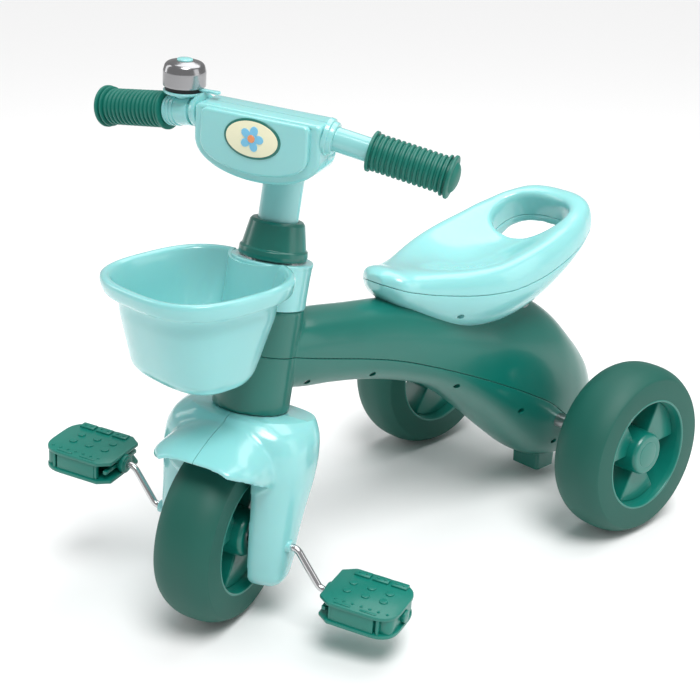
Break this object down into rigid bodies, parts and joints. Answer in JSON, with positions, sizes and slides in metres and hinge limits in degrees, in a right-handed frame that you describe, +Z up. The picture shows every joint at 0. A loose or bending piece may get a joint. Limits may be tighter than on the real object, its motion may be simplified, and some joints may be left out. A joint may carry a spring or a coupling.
{
  "type": "children's tricycle",
  "caption": "Ride-on tricycle for a small child: pedal-driven steered front wheel, rear wheels, moulded body and bucket seat, handlebar with bell, and a front basket.",
  "frame": {"origin": "on the ground below the middle of the bounding box", "axes": "+Z up, -Y towards the front, +X towards the rider's left"},
  "size_m": [0.3857, 0.635, 0.5481],
  "materials": {
    "badge": "satin",
    "chrome": "polished",
    "green_plastic": "satin",
    "grip_rubber": "matte",
    "mint_plastic": "satin",
    "mint_tube": "satin",
    "nylon": "matte",
    "steel": "satin",
    "tread": "matte",
    "wheel_plastic": "satin"
  },
  "bodies": {
    "frame": {"body_top_shell": "green_plastic", "body_bottom_shell": "green_plastic", "body_screws": "steel", "seat_top_shell": "mint_plastic", "seat_bottom_shell": "mint_plastic", "seat_screws": "steel", "head_collar": "mint_plastic", "basket": "mint_plastic", "steering_bushes": "nylon", "rear_axle": "steel", "axle_push_nuts": "steel", "axle_spacers": "green_plastic", "rear_foot": "green_plastic"},
    "steering": {"fork_left_half": "mint_plastic", "fork_right_half": "mint_plastic", "fork_screws": "steel", "stem_tube": "mint_tube", "stem_cap": "green_plastic", "handlebar_tube": "mint_tube", "handlebar_cover_front": "mint_plastic", "handlebar_cover_rear": "mint_plastic", "cover_screws": "steel", "cover_badge": "badge", "left_grip": "grip_rubber", "right_grip": "grip_rubber", "bell_clamp": "mint_plastic", "bell_base": "mint_plastic", "bell_dome": "chrome", "bell_cap": "mint_plastic", "bell_lever_pin": "steel", "crank_bushes": "nylon"},
    "front_wheel": {"front_tyre": "tread", "front_rim": "wheel_plastic", "crank_rod": "chrome"},
    "left_pedal": {"left_pedal": "green_plastic", "left_pedal_cap": "green_plastic"},
    "right_pedal": {"right_pedal": "green_plastic", "right_pedal_cap": "green_plastic"},
    "left_rear_wheel": {"left_rear_tyre": "tread", "left_rear_rim": "wheel_plastic", "left_hub_cap": "green_plastic"},
    "right_rear_wheel": {"right_rear_tyre": "tread", "right_rear_rim": "wheel_plastic", "right_hub_cap": "green_plastic"},
    "bell_lever": {"bell_lever": "mint_plastic"}
  },
  "joints": [
    {"name": "steering_turn", "type": "hinge", "parent": "frame", "child": "steering", "pos_m": [0, -0.2238, 0], "axis": [0, 0.2123, 0.9772], "range_deg": [-68, 22]},
    {"name": "front_wheel_spin", "type": "hinge", "parent": "steering", "child": "front_wheel", "pos_m": [0.00652, -0.2187, 0.09542], "axis": [0.9198, 0.3834, -0.0833], "continuous": true},
    {"name": "left_pedal_spin", "type": "hinge", "parent": "front_wheel", "child": "left_pedal", "pos_m": [0.15433, -0.16323, 0.05011], "axis": [0.9198, 0.3834, -0.0833], "continuous": true},
    {"name": "right_pedal_spin", "type": "hinge", "parent": "front_wheel", "child": "right_pedal", "pos_m": [-0.1413, -0.27417, 0.14072], "axis": [0.9198, 0.3834, -0.0833], "continuous": true},
    {"name": "left_rear_wheel_spin", "type": "hinge", "parent": "frame", "child": "left_rear_wheel", "pos_m": [0.1578, 0.222, 0.095], "axis": [1, 0, 0], "continuous": true},
    {"name": "right_rear_wheel_spin", "type": "hinge", "parent": "frame", "child": "right_rear_wheel", "pos_m": [-0.1578, 0.222, 0.095], "axis": [1, 0, 0], "continuous": true},
    {"name": "bell_lever_swing", "type": "hinge", "parent": "steering", "child": "bell_lever", "pos_m": [-0.04642, -0.19543, 0.5183], "axis": [0.0833, 0.0166, 0.9964], "range_deg": [0, 20], "stiffness_Nm_per_rad": 0.02, "springref_deg": -17.19}
  ]
}
